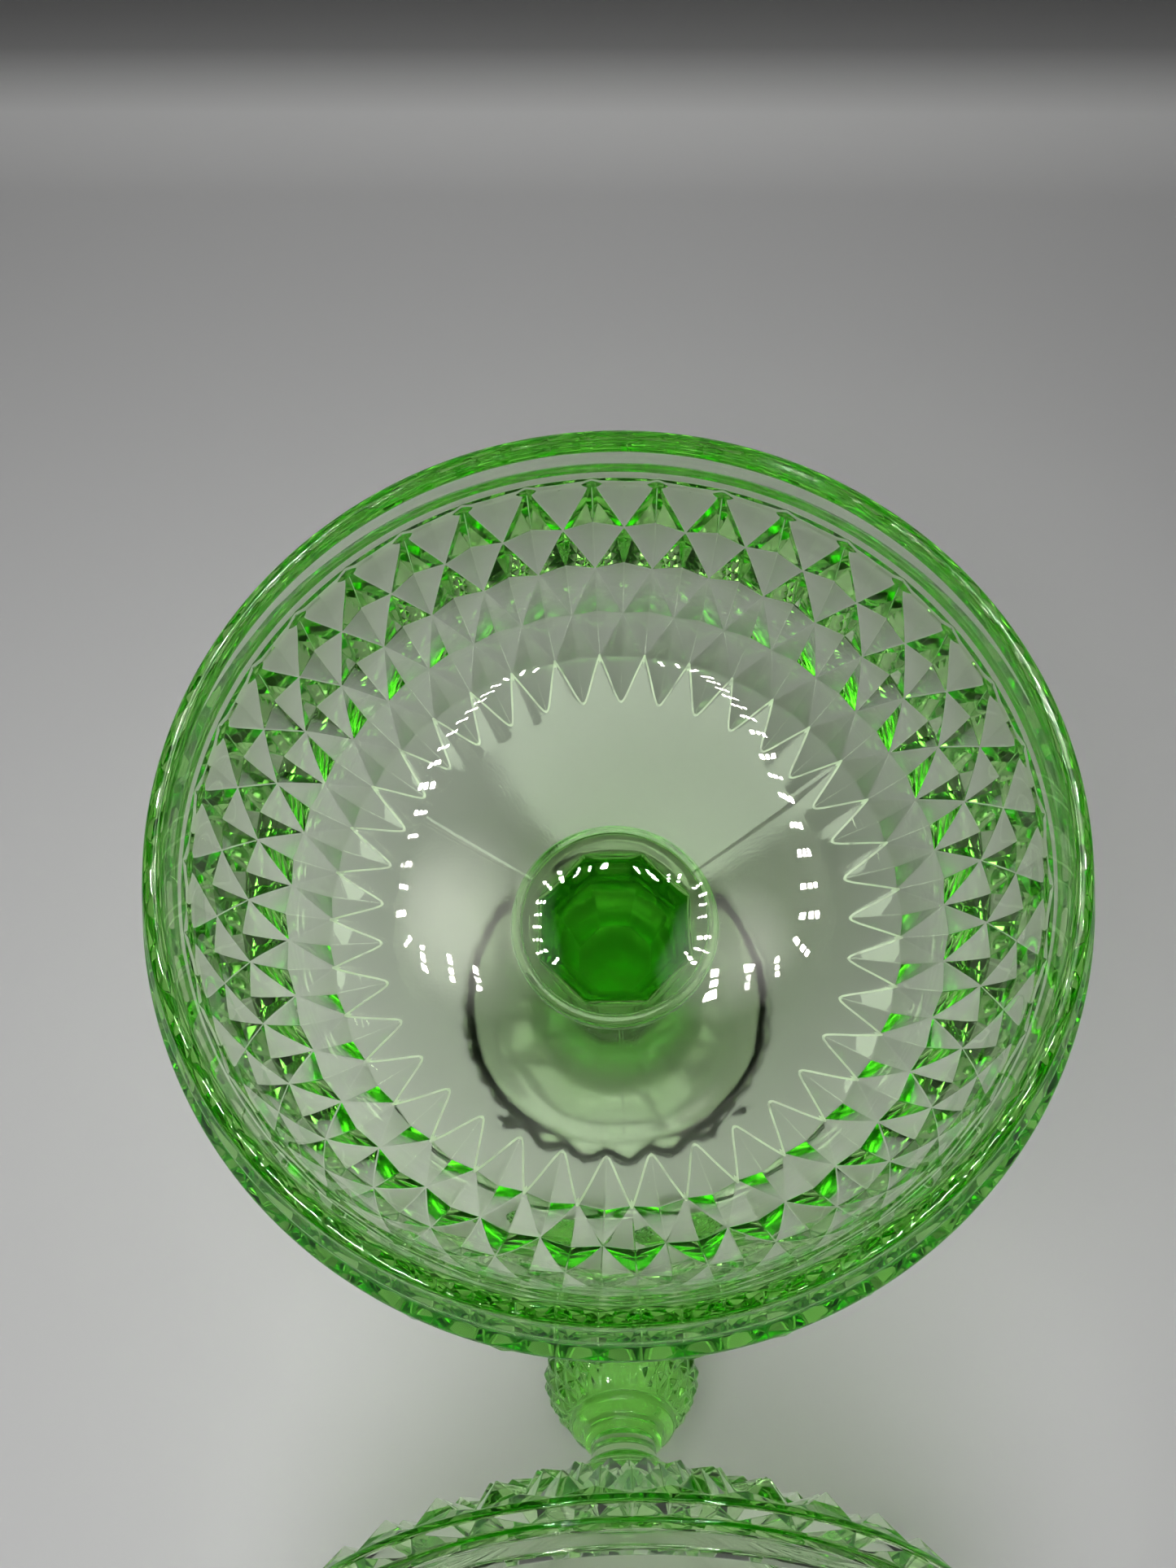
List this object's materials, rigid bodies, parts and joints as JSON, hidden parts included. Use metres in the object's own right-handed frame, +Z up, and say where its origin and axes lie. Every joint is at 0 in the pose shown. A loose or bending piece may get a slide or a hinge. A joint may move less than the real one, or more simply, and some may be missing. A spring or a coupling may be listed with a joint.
{
  "type": "covered footed glass dish",
  "caption": "Covered footed dish in pressed green glass with diamond-point walls: an open bowl on a stem and foot, with its loose domed lid lying tipped over in front.",
  "frame": {"origin": "centre of the circle that the foot stands on, on the table", "axes": "+Z up along the dish's axis, -Y from the dish towards the lid that lies in front of it, +X to the right seen from the lid's side"},
  "size_m": [0.1732, 0.2992, 0.184],
  "materials": {
    "dish_glass": "fire-polished pressed green glass, clear",
    "lid_glass": "fire-polished pressed green glass, clear, lightly marked on the seat"
  },
  "bodies": {
    "dish": {"bowl": "dish_glass", "stem_collar": "dish_glass", "stem": "dish_glass", "foot": "dish_glass"},
    "lid_piece": {"lid": "lid_glass", "finial": "lid_glass"}
  },
  "joints": [
    {"name": "lid_lift", "type": "slide", "parent": "dish", "child": "lid_piece", "axis": [0, -0.5, 0.866], "range_m": [0, 0.2]}
  ]
}
